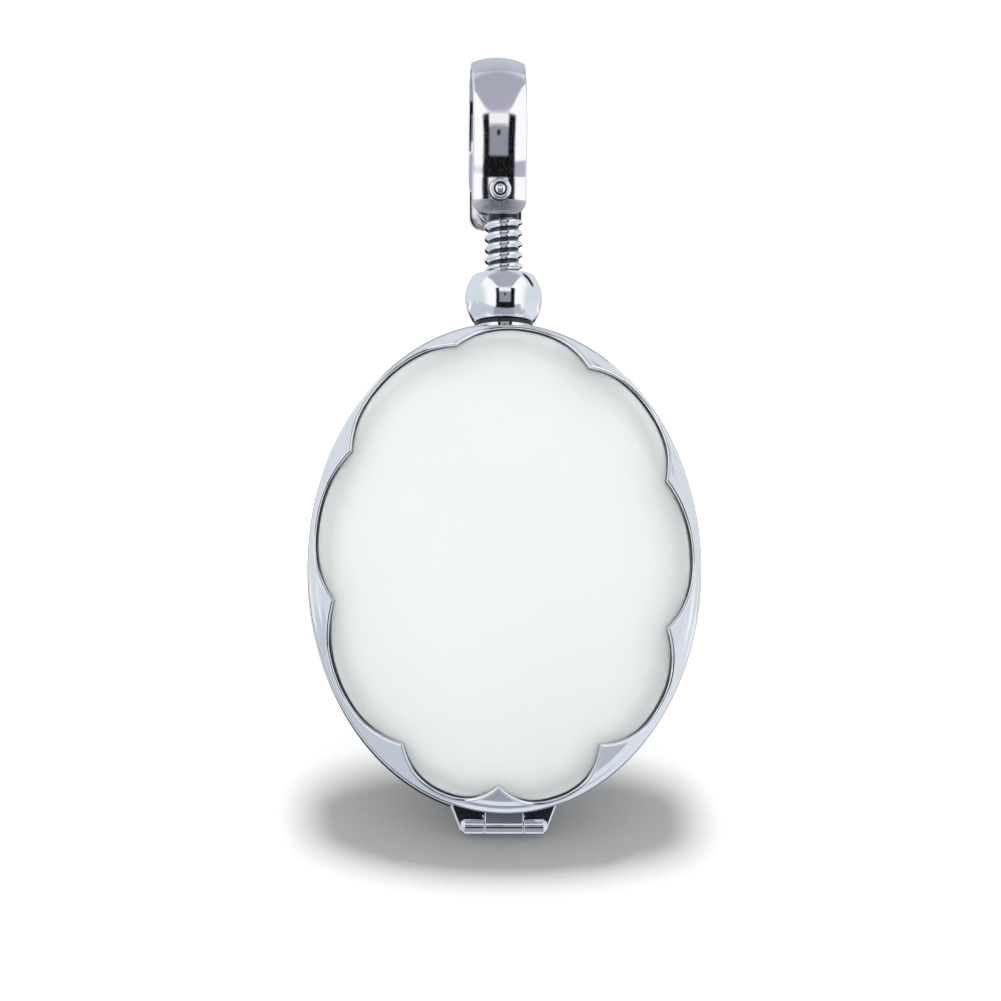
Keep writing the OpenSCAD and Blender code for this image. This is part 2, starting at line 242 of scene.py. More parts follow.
class LocketFinish(PropertyGroup):
    """The colours of the silver, the glass and the paper. Each drifts between a darker and a lighter shade."""

    polished_dark: colour("Polished silver, darker", "Darker shade of the polished silver", "#ECECF1")
    polished_light: colour("Polished silver, lighter", "Lighter shade of the polished silver", "#F8F8FB")
    # the satin's grey is partly a painted grey reflection
    satin_dark: colour("Satin silver, darker", "Darker shade of the satin silver", "#B9B9C3")
    satin_light: colour("Satin silver, lighter", "Lighter shade of the satin silver", "#DFDFE6")
    # a painted shade on the hinge's lug
    lug_shade_dark: colour("Worn silver, darker", "Darker shade of the worn silver", "#7C8288")
    lug_shade_light: colour("Worn silver, lighter", "Lighter shade of the worn silver", "#A8ADB3")
    # a painted shade in the step along the lip
    step_shade_dark: colour("Dulled silver, darker", "Darker shade of the dulled silver", "#5C676C")
    step_shade_light: colour("Dulled silver, lighter", "Lighter shade of the dulled silver", "#7A868B")
    # a painted deep shade in slits, grooves and under parts
    deep_shade_dark: colour("Tarnished silver, darker", "Darker shade of the tarnished silver", "#2A3033")
    deep_shade_light: colour("Tarnished silver, lighter", "Lighter shade of the tarnished silver", "#474E52")
    glass_dark: colour("Glass, darker", "Darker shade of the clouds in the glass", "#F4F9F8")
    glass_light: colour("Glass, lighter", "Lighter shade of the clouds in the glass", "#FCFEFE")
    paper_dark: colour("Paper, darker", "Darker shade of the paper's grain", "#9B9B9B")
    paper_light: colour("Paper, lighter", "Lighter shade of the paper's grain", "#9E9E9E")


class LocketStage(PropertyGroup):
    """The camera and the studio round the locket."""

    distance: size("Distance", "Distance of the camera from its target", 200)
    across: size("Across", "Width of the picture at the target", 64.06)
    target_x: size("Target X", "Target of the camera along X", -0.2)
    target_z: size("Target Z", "Target of the camera along Z", -28.28)
    tilt: angle("Tilt", "How far the camera looks up", 8)
    turn: angle("Turn", "How far the camera stands to the left", 4)
    sun: FloatProperty(name="Sun", description="Strength of the light from above", default=6.6)
    sun_angle: angle("Softness", "Width of the light from above", 15)
    sun_lean: angle("Lean", "How far the light from above leans to the front", 8)
    tent_light: FloatProperty(name="Tent", description="Strength of the tent that the silver mirrors", default=1.08)
    plain_light: FloatProperty(name="Plain light", description="Strength of the plain light all round", default=1.44)
    paper_x: size("Paper", "Half of the width of the paper under the locket", 70)
    paper_reach: size("Clear reach", "How near below the paper a part has to hang to make it clear", 36)


# Meshes


def skin(bm, rows, turn=False, poles=(), slot=0):
    """Joins closed rows of points with faces: all the way round, or with flat caps or poles at the two ends."""
    grid = [[bm.verts.new(p) for p in row] for row in rows]
    pairs = list(zip(grid, grid[1:]))
    if turn:
        pairs.append((grid[-1], grid[0]))
    made = []
    for low, high in pairs:
        for k in range(len(low)):
            n = (k + 1) % len(low)
            made.append(bm.faces.new((low[k], low[n], high[n], high[k])))
    if poles:
        for row, pole in ((grid[0], poles[0]), (grid[-1], poles[1])):
            tip = bm.verts.new(pole)
            for k in range(len(row)):
                made.append(bm.faces.new((row[k], row[(k + 1) % len(row)], tip)))
    elif not turn:
        made.append(bm.faces.new(grid[0]))
        made.append(bm.faces.new(grid[-1]))
    for face in made:
        face.material_index = slot
    return made


def turned(bm, profile, steps, middle=(0, 0, 0), axis="Z", first=0.0, last=360.0, slot=0):
    """Turns a closed profile of (radius, height) points round an axis, the whole way or from one angle to another."""
    whole = last - first >= 360

    def place(r, h, t):
        """The point at a radius, a height along the axis and an angle."""
        c, s = r * cos(t), r * sin(t)
        p = {"Z": (c, s, h), "X": (h, c, s), "Y": (c, h, s)}[axis]
        return Vector(p) + Vector(middle)

    count = steps if whole else steps + 1
    turns = [radians(first + (last - first) * k / steps) for k in range(count)]
    return skin(bm, [[place(r, h, t) for r, h in profile] for t in turns], turn=whole, slot=slot)


def rounded(points, radius, steps=3):
    """A closed profile with each of its corners rounded, by no more than its shorter side allows."""
    most = 0.45
    out = []
    for k, p in enumerate(points):
        here, before, after = Vector(p), Vector(points[k - 1]), Vector(points[(k + 1) % len(points)])
        reach = min(radius, (before - here).length * most, (after - here).length * most)
        start = here + (before - here).normalized() * reach
        end = here + (after - here).normalized() * reach
        for i in range(steps + 1):
            u = i / steps
            out.append(tuple(start * (1 - u) ** 2 + here * 2 * u * (1 - u) + end * u * u))
    return out


def smooth_line(points, per_span):
    """A smooth line through all the points, with so many steps between two of them."""
    out = []
    for k in range(len(points) - 1):
        a, b = Vector(points[k]), Vector(points[k + 1])
        before = Vector(points[k - 1]) if k else a * 2 - b
        after = Vector(points[k + 2]) if k + 2 < len(points) else b * 2 - a
        for i in range(per_span):
            u = i / per_span
            out.append(
                0.5 * (2 * a + (b - before) * u + (2 * before - 5 * a + 4 * b - after) * u * u
                       + (3 * a - 3 * b + after - before) * u * u * u)
            )
    out.append(Vector(points[-1]))
    return [tuple(p) for p in out]


def plate(bm, outline, front, back, edge):
    """A flat plate between two depths along Y, with its edges broken; the outline is (x, z) points."""
    middle = Vector((sum(p[0] for p in outline), sum(p[1] for p in outline))) / len(outline)

    def ring(y, inset):
        """The outline at a depth, drawn in towards its middle."""
        points = []
        for p in outline:
            toward = middle - Vector(p)
            q = Vector(p) + toward.normalized() * inset
            points.append(Vector((q.x, y, q.y)))
        return points

    return skin(bm, [ring(front, edge), ring(front + edge, 0), ring(back - edge, 0), ring(back, edge)])


def mirrored(faces):
    """Moves faces to the other side of the parting plane."""
    for corner in {corner for face in faces for corner in face.verts}:
        corner.co.y = -corner.co.y


def piece(name, bm, materials, body, node, sharp=35.0):
    """Makes a finished piece from a mesh: it rides on a body and stands for a node of the construction. Edges that
    turn by more degrees than `sharp` stay crisp."""
    bmesh.ops.recalc_face_normals(bm, faces=bm.faces)
    for face in bm.faces:
        face.smooth = True
    mesh = bpy.data.meshes.new(name)
    bm.to_mesh(mesh)
    bm.free()
    mesh.set_sharp_from_angle(angle=radians(sharp))
    for material in materials:
        mesh.materials.append(material)
    made = bpy.data.objects.new(name, mesh)
    bpy.context.scene.collection.objects.link(made)
    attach(made, body)
    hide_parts(node)
    return made


# Materials


def add(tree, kind, inputs=None, **settings):
    """Adds a node with its settings; an input is given as a value or as the socket that feeds it."""
    made = tree.nodes.new(kind)
    for key, value in settings.items():
        setattr(made, key, value)
    for key, value in (inputs or {}).items():
        if isinstance(value, bpy.types.NodeSocket):
            tree.links.new(value, made.inputs[key])
        else:
            made.inputs[key].default_value = value
    return made


def surface(name):
    """An empty material with its shader, its output and the place of a point on the piece."""
    material = bpy.data.materials.new(name)
    material.use_nodes = True
    tree = material.node_tree
    tree.nodes.clear()
    shader = add(tree, "ShaderNodeBsdfPrincipled")
    add(tree, "ShaderNodeOutputMaterial", {"Surface": shader.outputs["BSDF"]})
    place = add(tree, "ShaderNodeTexCoord").outputs["Object"]
    return material, tree, shader, place


def waves_per_mm(count):
    """A texture scale in metres for so many waves in a millimetre."""
    return count / MM


def drifting(tree, shader, place, kind, count, detail=3.0):
    """Makes a surface drift between the darker and the lighter shade of its finish, in so many waves a millimetre, and
    gives the pattern that it drifts with."""
    finish = bpy.context.scene.locket_finish
    dark, light = getattr(finish, kind + "_dark"), getattr(finish, kind + "_light")
    noise = add(tree, "ShaderNodeTexNoise", {"Vector": place, "Scale": waves_per_mm(count), "Detail": detail})
    shade = add(tree, "ShaderNodeMix", {0: noise.outputs["Fac"], 6: dark, 7: light}, data_type="RGBA")
    tree.links.new(shade.outputs[2], shader.inputs["Base Color"])
    return noise.outputs["Fac"]


def silver(name, kind):
    """Sterling silver: a metal whose colour drifts a little over the piece, and whose roughness changes over its
    polishing marks. Real marks lie about 0.01 mm apart, too fine to show, so they are drawn about 0.1 mm apart and six
    times as long."""
    smooth, dull, scratch = SILVERS[kind]
    material, tree, shader, place = surface(name)
    drifting(tree, shader, place, kind, 0.35)
    stretched = add(tree, "ShaderNodeMapping", {"Vector": place, "Scale": (1.0, 1.0, 0.16)})
    marks = add(
        tree, "ShaderNodeTexNoise",
        {"Vector": stretched.outputs["Vector"], "Scale": waves_per_mm(9), "Detail": 2.0, "Roughness": 0.6},
    )
    gloss = add(
        tree, "ShaderNodeMapRange",
        {"Value": marks.outputs["Fac"], "From Min": 0.35, "From Max": 0.7, "To Min": smooth, "To Max": dull},
    )
    bump = add(
        tree, "ShaderNodeBump",
        {"Strength": scratch, "Distance": 0.01 * MM, "Height": marks.outputs["Fac"]},
    )
    tree.links.new(gloss.outputs["Result"], shader.inputs["Roughness"])
    tree.links.new(bump.outputs["Normal"], shader.inputs["Normal"])
    shader.inputs["Metallic"].default_value = 1.0
    return material


def frosted_glass(name):
    """Ground and slightly milky glass: a satin surface that scatters what is behind it, the usual 1.5 of glass, and
    faint clouds about 11 mm wide with a trace of green."""
    material, tree, shader, place = surface(name)
    clouds = drifting(tree, shader, place, "glass", 0.09)
    satin = add(
        tree, "ShaderNodeMapRange",
        {"Value": clouds, "From Min": 0.3, "From Max": 0.7, "To Min": 0.42, "To Max": 0.5},
    )
    tree.links.new(satin.outputs["Result"], shader.inputs["Roughness"])
    shader.inputs["Transmission Weight"].default_value = 0.64
    shader.inputs["IOR"].default_value = 1.5
    return material


def made_once(name, maker, *values):
    """The material of that name, made when it is first asked for."""
    return bpy.data.materials.get(name) or maker(name, *values)


def polished_silver():
    """Buffed silver: it mirrors the room sharply, with a lavender grey cast."""
    return made_once("Polished_silver", silver, "polished")


def satin_silver_painted_grey():
    """Rough satin silver, at the filed ends of the bail's legs and on top of its loop: reflections melt into a soft
    grey, and its darker grey colour is a painted grey reflection."""
    return made_once("Satin_silver_painted_grey", silver, "satin")


def lug_shade_silver():
    """Silver painted a flat mid grey as the shade on the middle knuckle's lug, in the corner between the case and the
    hinge.
    """
    return made_once("Lug_shade_silver", silver, "lug_shade")


def step_shade_silver():
    """Silver painted dark as the shade in the step along the lip, between the bead and the glass: a dark line round
    the glass.
    """
    return made_once("Step_shade_silver", silver, "step_shade")


def deep_shade_silver():
    """Silver painted near black as shade: in a seam, a groove, under the ball nut and the bail, and on the hinge
    leaf's face behind the hinge.
    """
    return made_once("Deep_shade_silver", silver, "deep_shade")


def locket_glass():
    """The glass of both domes."""
    return made_once("Frosted_glass", frosted_glass)


# The oval, the glass and the lip


def oval(case, turn, inset):
    """A point of the case's outline, moved in from it, as x and z over the middle of the case."""
    a, b = case.width / 2, case.height / 2
    nx, nz = cos(turn) / a, sin(turn) / b
    reach = inset / hypot(nx, nz)
    return a * cos(turn) - reach * nx, b * sin(turn) - reach * nz


def dome_height(case, glass, x, z):
    """The height of the outside of the glass over the parting plane."""
    inset = case.wall + glass.gap
    q = min(1.0, hypot(x / (case.width / 2 - inset), z / (case.height / 2 - inset)))
    return glass.rim_top + glass.rise * sqrt(1 - q ** glass.fullness)


def lip_stations(case):
    """The stations round the oval: the angle, the lip's width there, and the place in the lobe from 0 to 1."""
    out = []
    for k, (here, point, lobe, sharp) in enumerate(LIP):
        there, next_point, _, next_sharp = LIP[(k + 1) % len(LIP)]
        there += 360 if there < here else 0
        for i in range(case.lobe_steps):
            # the sections stand closer together at the points
            u = 0.5 - 0.5 * cos(pi * i / case.lobe_steps)
            power = sharp + (next_sharp - sharp) * u
            past = (point + (next_point - point) * u - lobe) * abs(2 * u - 1) ** power
            out.append((radians(here + (there - here) * u), (lobe + past) * MM, u))
    return out


def lip_section(case, glass, turn, edge, u):
    """One section of a frame as four lists of (inset, height) points: the outside, the bead along the lip's edge, the
    step under it and the lip's underside, both painted dark as shade, and the inside down to the parting plane."""

    def over_glass(inset, above):
        """The height of a point on the glass, or so far above it."""
        return dome_height(case, glass, *oval(case, turn, inset)) + glass.gap + above

    def outer_height(inset):
        """The height of the outside: the round shoulder melts into the lip on the glass."""
        melt = 0.08 * MM
        shoulder = case.side + SHOULDER_UP * sqrt(max(0.0, 1 - max(0.0, 1 - inset / SHOULDER_IN) ** 2))
        on_glass = over_glass(inset, case.lip - case.bead * 0.5)
        return (shoulder + on_glass + hypot(shoulder - on_glass, melt)) / 2

    # the side wall starts with a soft edge, and its rows stand closer together towards the outline
    side = [(0.07 * MM, case.slit), (0.015 * MM, case.slit + 0.03 * MM), (0, case.slit + 0.1 * MM)]
    outer_rows, bead_rows = 20, 16
    bead_in = max(0.3 * edge, edge - 1.9 * case.bead)
    insets = [bead_in * (1 - cos(pi / 2 * k / outer_rows)) for k in range(outer_rows + 1)]
    outer = side + [(inset, outer_height(inset)) for inset in insets]
    start, end = Vector(outer[-1]), Vector((edge, outer_height(edge)))
    along = (end - start).normalized()
    across = Vector((-along.y, along.x))
    middle = start + along * case.bead - across * case.bead * 0.1
    # round the bead, from the outside over its top to the dark step
    bead = []
    for row in range(bead_rows):
        t = radians(160 - 15.5 * row)
        bead.append(tuple(middle + (along * cos(t) + across * sin(t)) * case.bead))
    # the step, painted dark as shade, is widest in the middle of a lobe and runs out at the points
    step = case.step * (0.25 + 1.05 * sin(pi * u) + 0.3 * sin(3 * turn + 0.6) * sin(5 * turn))
    seam = [
        (edge - 0.01 * MM, over_glass(edge, 0.07 * MM)),
        (edge + step * 0.8, over_glass(edge + step * 0.8, 0.05 * MM)),
        (edge + step, over_glass(edge + step, 0)),
        (edge, over_glass(edge, -0.02 * MM)),
    ]
    start_in = case.wall + FIT
    under = []
    for share in (0.6, 0.2):
        inset = start_in + (edge - start_in) * share
        under.append((inset, over_glass(inset, 0)))
    inside = [
        (case.wall, glass.rim_top), (case.wall, case.ledge),
        (case.wall + case.lip, case.ledge), (case.wall + case.lip, case.slit),
    ]
    return outer, bead, seam + under, inside


def scalloped_frame(bm, case, glass):
    """One silver frame with its scalloped lip, in front of the parting plane."""
    rows = []
    for turn, edge, u in lip_stations(case):
        outer, bead, seam, inside = lip_section(case, glass, turn, edge, u)
        row = []
        for inset, height in outer + bead + seam + inside:
            x, z = oval(case, turn, inset)
            row.append(Vector((x, -height, z + case.middle)))
        rows.append(row)
    faces = skin(bm, rows, turn=True)
    across = len(rows[0])
    # the bead's last face, the step and the underside after it are painted dark as the shade between the lip and the
    # glass
    seam_first = len(outer) + len(bead) - 2
    for number, face in enumerate(faces):
        if seam_first <= number % across < across - len(inside):
            face.material_index = STEP_SHADE
    return faces


def half_collar(bm, case):
    """Half of the flat collar that the ball nut bears on, in front of the parting plane. Its rim is painted dark as
    shade at the top, close under the ball."""
    foot, groove = case.collar_top - 0.51 * MM, case.collar_top - 0.28 * MM
    bore, rim = 0.2 * MM, case.collar_r - 0.06 * MM
    profile = rounded(
        [(bore, foot), (case.collar_r, foot), (case.collar_r, groove), (case.collar_r, case.collar_top),
         (bore, case.collar_top)],
        0.04 * MM,
    )
    faces = turned(bm, profile, 48, (0, -case.slit, 0), first=180, last=360)
    for face in faces:
        middle = face.calc_center_median()
        if hypot(middle.x, middle.y + case.slit) > rim and middle.z > groove:
            face.material_index = DEEP_SHADE
    return faces


def barrel_profile(radius, bore, length, start=0.0, end=0.0):
    """A knuckle's profile along its axis; either end may be turned down to a cone."""
    half = length / 2
    corners = [(bore, -half), (radius - start, -half)]
    corners += [(radius, start - half)] if start else []
    corners += [(radius, half - end)] if end else []
    return rounded(corners + [(radius - end, half), (bore, half)], 0.05 * MM)


class LOCKET_OT_back_frame(Operator):
    """Builds the back frame with its collar half, hinge leaf and outer knuckles"""

    bl_idname = "locket.back_frame"
    bl_label = "Back frame"

    def execute(self, context):
        case, glass, hinge = context.scene.locket_case, context.scene.locket_glass, context.scene.locket_hinge
        bm = bmesh.new()
        mirrored(scalloped_frame(bm, case, glass))
        mirrored(half_collar(bm, case))
        # the boss that the stem is soldered into
        bore, boss_r, boss_foot, boss_top = 0.82 * MM, 1.25 * MM, -17.26 * MM, -16.745 * MM
        boss = [(bore, boss_foot), (boss_r, boss_foot), (boss_r, boss_top), (bore, boss_top)]
        turned(bm, rounded(boss, 0.04 * MM), 48)
        front = case.slit + SET_BACK
        leaf_skin(bm, leaf_outline(case, hinge), front, front + hinge.leaf_t)
        outer_l = (hinge.length - hinge.middle) / 2 - hinge.gap
        for side in (-1, 1):
            cones = (hinge.cone, 0.0) if side < 0 else (0.0, hinge.cone)
            turned(
                bm, barrel_profile(hinge.diameter / 2, hinge.pin_d / 2 + FIT, outer_l, *cones), 48,
                (side * (hinge.length - outer_l) / 2, 0, hinge.axis_z), "X",
            )
        metals = [polished_silver(), step_shade_silver(), deep_shade_silver()]
        piece("back_frame", bm, metals, "back_half", "back_bezel")
        return {"FINISHED"}


def leaf_outline(case, hinge):
    """The hinge leaf's outline: its top follows the case, its sides lean in to the barrel's ends, and the middle
    knuckle has a notch."""
    foot = hinge.axis_z - 0.3 * MM
    notch = hinge.middle / 2 + hinge.gap
    notch_top = hinge.axis_z + hinge.diameter / 2 + 0.07 * MM
    half_angle = asin(hinge.leaf_x / (case.width / 2))
    half_steps, sunk = 8, 0.2 * MM
    top = []
    for k in range(2 * half_steps + 1):
        x, z = oval(case, radians(270) + half_angle * (k / half_steps - 1), sunk)
        top.append((x, z + case.middle))
    end = hinge.length / 2
    right = [(end, foot), (notch, foot), (notch, notch_top)]
    return top + right + [(-x, z) for x, z in reversed(right)]


def leaf_skin(bm, outline, front, back):
    """A flat leaf that isn't convex, with broken edges. Its front face is painted dark as the shade under the case."""
    count = len(outline)
    edge = 0.1 * MM
    shrunk = []
    for k, p in enumerate(outline):
        before, here, after = Vector(outline[k - 1]), Vector(p), Vector(outline[(k + 1) % count])
        a, b = (here - before).normalized(), (after - here).normalized()
        normal = Vector((a.y + b.y, -a.x - b.x)).normalized()
        scale = edge / max(0.35, cos(0.5 * a.angle(b)))
        shrunk.append(here + normal * scale)
    rows = [
        [Vector((p.x, front, p.y)) for p in shrunk],
        [Vector((p[0], front + edge, p[1])) for p in outline],
        [Vector((p[0], back - edge, p[1])) for p in outline],
        [Vector((p.x, back, p.y)) for p in shrunk],
    ]
    skin(bm, rows)[-2].material_index = DEEP_SHADE


class LOCKET_OT_front_frame(Operator):
    """Builds the front frame with its collar half, lug and middle knuckle"""

    bl_idname = "locket.front_frame"
    bl_label = "Front frame"

    def execute(self, context):
        case, glass, hinge = context.scene.locket_case, context.scene.locket_glass, context.scene.locket_hinge
        bm = bmesh.new()
        scalloped_frame(bm, case, glass)
        half_collar(bm, case)
        half = hinge.middle / 2
        foot, top = hinge.axis_z - 0.1 * MM, hinge.axis_z + 0.9 * MM
        lug = [(-half, foot), (half, foot), (half, top), (-half, top)]
        faces = plate(bm, lug, -case.slit - hinge.lug_t, -case.slit - SET_BACK, 0.05 * MM)
        # the lug's front face is painted mid grey as the shade under the case
        faces[-2].material_index = LUG_SHADE
        knuckle = barrel_profile(hinge.diameter / 2, hinge.pin_d / 2 + RUN, hinge.middle)
        turned(bm, knuckle, 48, (0, 0, hinge.axis_z), "X")
        metals = [polished_silver(), step_shade_silver(), deep_shade_silver(), lug_shade_silver()]
        piece("front_frame", bm, metals, "front_half", "front_bezel")
        return {"FINISHED"}


class LOCKET_OT_glass(Operator):
    """Builds the two glass domes"""

    bl_idname = "locket.glass"
    bl_label = "Glass domes"

    def execute(self, context):
        case, glass = context.scene.locket_case, context.scene.locket_glass
        for name, body, node, back in (
            ("back_dome", "back_half", "back_glass", True),
            ("front_dome", "front_half", "front_glass", False),
        ):
            bm = bmesh.new()
            faces = dome(bm, case, glass)
            if back:
                mirrored(faces)
            piece(name, bm, [locket_glass()], body, node)
        return {"FINISHED"}


def dome(bm, case, glass, rings=30, sides=180):
    """One glass dome in front of the parting plane: outer face, rounded rim and inner face."""
    inset = case.wall + glass.gap
    a, b = case.width / 2 - inset, case.height / 2 - inset
    foot, round_off = glass.rim_foot, 0.06 * MM
    turns = [2 * pi * k / sides for k in range(sides)]
    shares = [sin(pi / 2 * k / rings) for k in range(1, rings + 1)]

    def ring(wide, high, height):
        """An oval ring at a height over the parting plane."""
        return [Vector((wide * cos(t), -height, high * sin(t) + case.middle)) for t in turns]

    def swell(share):
        """The share of a dome's rise at a share of the way out."""
        return sqrt(max(0.0, 1 - share ** glass.fullness))

    rows = [ring(q * a, q * b, glass.rim_top + glass.rise * swell(q)) for q in shares]
    rows.append(ring(a, b, foot + round_off))
    rows.append(ring(a - round_off * 0.3, b - round_off * 0.3, foot + round_off * 0.3))
    rows.append(ring(a - round_off, b - round_off, foot))
    inner_a, inner_b = a - glass.thickness, b - glass.thickness
    inner_rise = glass.rim_top + glass.rise - glass.thickness - foot
    rows += [ring(q * inner_a, q * inner_b, foot + inner_rise * swell(q)) for q in reversed(shares)]
    tops = (
        Vector((0, -glass.rim_top - glass.rise, case.middle)),
        Vector((0, -foot - inner_rise, case.middle)),
    )
    return skin(bm, rows, poles=tops)


class LOCKET_OT_bail(Operator):
    """Builds the bail from one bent and domed strip"""

    bl_idname = "locket.bail"
    bl_label = "Bail"

    def execute(self, context):
        bail = context.scene.locket_bail
        bm = bmesh.new()
        # satin with a painted grey reflection, outside on the filed ends of the legs and on top of the loop
        outside = bail.leg_y + bail.corner_r * 0.1
        for face in skin(bm, [strip_section(bail, *row) for row in strip_rows(bail)]):
            middle = face.calc_center_median()
            filed = middle.z < bail.front_z + bail.filed_l and abs(middle.y) > outside
            if filed or middle.z > -bail.satin_and_painted_grey:
                face.material_index = SECOND
        piece("bail_strip", bm, [polished_silver(), satin_silver_painted_grey()], "hanger", "bail", 40)
        return {"FINISHED"}


def strip_rows(bail):
    """The strip's inner line from the front leg's end to the rear leg's: y, z, the angle of the outside, and the
    distance to the nearest end."""
    middle = -bail.loop_h
    arch_steps = 56

    def leg(end):
        """A leg from its end up to the side of the loop."""
        corner, bend = LEG_ROWS[-1] * MM, bail.bend_z
        places = [(bail.leg_y, end + d * MM) for d in LEG_ROWS]
        places += [(bail.leg_y, end + corner + (bend - end - corner) * k / 4) for k in range(1, 5)]
        for up, out in smooth_line(BOW, 5)[1:-1]:
            places.append((bail.leg_y + (bail.loop_r - bail.leg_y) * out, bend + (middle - bend) * up))
        return places

    def loop(turn):
        """A point of the loop's arch, which is half of an oval."""
        return bail.loop_r * cos(turn), middle + bail.loop_h * sin(turn)

    front = [(-y, z) for y, z in leg(bail.front_z)]
    arch = [loop(pi - pi * k / arch_steps) for k in range(arch_steps + 1)]
    line = front + arch + leg(bail.rear_z)[::-1]
    rows = []
    for k, (y, z) in enumerate(line):
        before, after = line[max(0, k - 1)], line[min(len(line) - 1, k + 1)]
        lean = atan2(-(after[0] - before[0]), after[1] - before[1]) + pi
        end = bail.front_z if k < len(line) / 2 else bail.rear_z
        rows.append((y, z, lean, z - end))
    return rows


def strip_section(bail, y, z, turn, to_end):
    """The strip's section: nearly flat inside, domed outside, with soft edges, and narrower in its end corners."""
    short = max(0.0, bail.corner_r - to_end)
    half = bail.width / 2 - bail.corner_r + sqrt(max(0.0, bail.corner_r ** 2 - short ** 2))
    # the ends of the legs are filed thinner
    filed = bail.filed * max(0.0, 1 - to_end / bail.filed_l) ** 1.05

    def thickness(x):
        """The strip's thickness at a distance from its middle."""
        return bail.edge_t - filed + (bail.middle_t - bail.edge_t) * (1 - (2 * x / bail.width) ** 2)

    side_t, outer_steps = thickness(half), 20
    soft = min(0.08 * MM, 0.3 * side_t)
    pinch = max(0.0, soft - to_end) * 0.5
    line = [(x * (half - soft), pinch) for x in (-1, -0.5, 0, 0.5, 1)]
    line += [(half - soft * 0.3, soft * 0.3 + pinch), (half, soft + pinch)]
    line += [(half, side_t - soft - pinch), (half - soft * 0.3, side_t - soft * 0.3 - pinch)]
    for k in range(outer_steps + 1):
        x = (half - soft) * cos(pi * k / outer_steps)
        line.append((x, thickness(x) - pinch))
    line += [(-half + soft * 0.3, side_t - soft * 0.3 - pinch), (-half, side_t - soft - pinch)]
    line += [(-half, soft + pinch), (-half + soft * 0.3, soft * 0.3 + pinch)]
    return [Vector((x + bail.middle_x, y + t * cos(turn), z + t * sin(turn))) for x, t in line]


class LOCKET_OT_rivet(Operator):
    """Builds the rivet with its turned heads"""

    bl_idname = "locket.rivet"
    bl_label = "Rivet"

    def execute(self, context):
        bail = context.scene.locket_bail
        bm = bmesh.new()
        seat, sides = bail.leg_y + bail.middle_t + FIT, 64
        tip, r = seat + bail.head_h, bail.head_d / 2
        head = [(share * r, seat + up * bail.head_h) for share, up in RIVET_HEAD]
        shank = [(bail.rivet_d / 2, -seat), (bail.rivet_d / 2, seat)]
        turns = [2 * pi * k / sides for k in range(sides)]
        rows = [
            [Vector((bail.middle_x + out * cos(t), y, bail.rivet_z + out * sin(t))) for t in turns]
            for out, y in [(out, -y) for out, y in reversed(head)] + shank + head
        ]
        for face in skin(bm, rows, poles=[Vector((bail.middle_x, y, bail.rivet_z)) for y in (-tip, tip)]):
            middle = face.calc_center_median()
            share = hypot(middle.x - bail.middle_x, middle.z - bail.rivet_z) / r
            # the heads are painted dark as shade at the rim and in the step round the button
            if abs(middle.y) > seat and (share > 0.9 or 0.44 < share < 0.58):
                face.material_index = SECOND
        piece("rivet", bm, [polished_silver(), deep_shade_silver()], "hanger", "bail_rivet", 50)
        return {"FINISHED"}


class LOCKET_OT_stem(Operator):
    """Builds the threaded stem with the cross barrel on its top"""

    bl_idname = "locket.stem"
    bl_label = "Threaded stem"

    def execute(self, context):
        stem, bail = context.scene.locket_stem, context.scene.locket_bail
        bm = bmesh.new()
        sides, steps = 64, 260
        root, run_out = stem.thread_d / 2 - stem.depth, 0.15 * stem.pitch
        rows, waves = [], []
        for k in range(steps + 1):
            z = stem.foot + (stem.top - stem.foot) * k / steps
            fade = min(1.0, (z - stem.foot) / run_out, (stem.top - z) / run_out)
            row = []
            for i in range(sides):
                turn = 2 * pi * i / sides
                wave = 0.5 + 0.5 * cos(2 * pi * (z / stem.pitch - i / sides))
                height = wave * wave * (3 - 2 * wave)
                out = root + stem.depth * fade * height
                row.append(Vector((out * cos(turn), out * sin(turn), z)))
                waves.append(wave)
            rows.append(row)
        for face, wave in zip(skin(bm, rows), waves):
            # the bottom of the groove is painted dark as shade
            if wave < 0.2:
                face.material_index = SECOND
        # the spigot that is soldered into the boss, and the neck under the cross barrel
        core, spigot_r = 0.1 * MM, 0.8 * MM
        low, high = stem.spigot_foot, stem.foot + 0.05 * MM
        turned(bm, rounded([(core, low), (spigot_r, low), (spigot_r, high), (core, high)], 0.03 * MM), 48)
        low, high = stem.top, bail.rivet_z - 0.9 * MM
        # the neck is painted dark as the shadow of the bail
        turned(bm, rounded([(core, low), (root, low), (root, high), (core, high)], 0.06 * MM), 64, slot=SECOND)
        bore, half = bail.rivet_d / 2 + RUN, stem.head_l / 2
        barrel = rounded([(bore, -half), (stem.head_r, -half), (stem.head_r, half), (bore, half)], 0.12 * MM)
        turned(bm, barrel, 72, (bail.middle_x, 0, bail.rivet_z), "Y")
        metals = [polished_silver(), deep_shade_silver()]
        piece("stem", bm, metals, "back_half", "threaded_stem", 45)
        return {"FINISHED"}


class LOCKET_OT_ball_nut(Operator):
    """Builds the ball nut"""

    bl_idname = "locket.ball_nut"
    bl_label = "Ball nut"

    def execute(self, context):
        stem = context.scene.locket_stem
        bm = bmesh.new()
        radius, half = stem.ball_d / 2, stem.ball_h / 2
        bore, chamfer, steps = stem.thread_d / 2 + 0.06 * MM, 0.12 * MM, 40
        foot, top = stem.ball_z - half, stem.ball_z + half
        # the ball's sides stop short of its flats, which have a soft edge
        limit, soft = asin(half / radius), radians(3)
        edge = radius * cos(limit)
        profile = [(bore, foot + chamfer), (bore + chamfer, foot)]
        profile += [(edge - chamfer, foot), (edge - 0.04 * MM, foot + 0.01 * MM)]
        for k in range(steps + 1):
            t = -limit + soft + (limit - soft) * 2 * k / steps
            profile.append((radius * cos(t), stem.ball_z + radius * sin(t)))
        profile += [(edge - 0.04 * MM, top - 0.01 * MM), (edge - chamfer, top)]
        profile += [(bore + chamfer, top), (bore, top - chamfer)]
        turned(bm, profile, 128)
        piece("ball", bm, [polished_silver()], "nut", "ball_nut", 40)
        return {"FINISHED"}


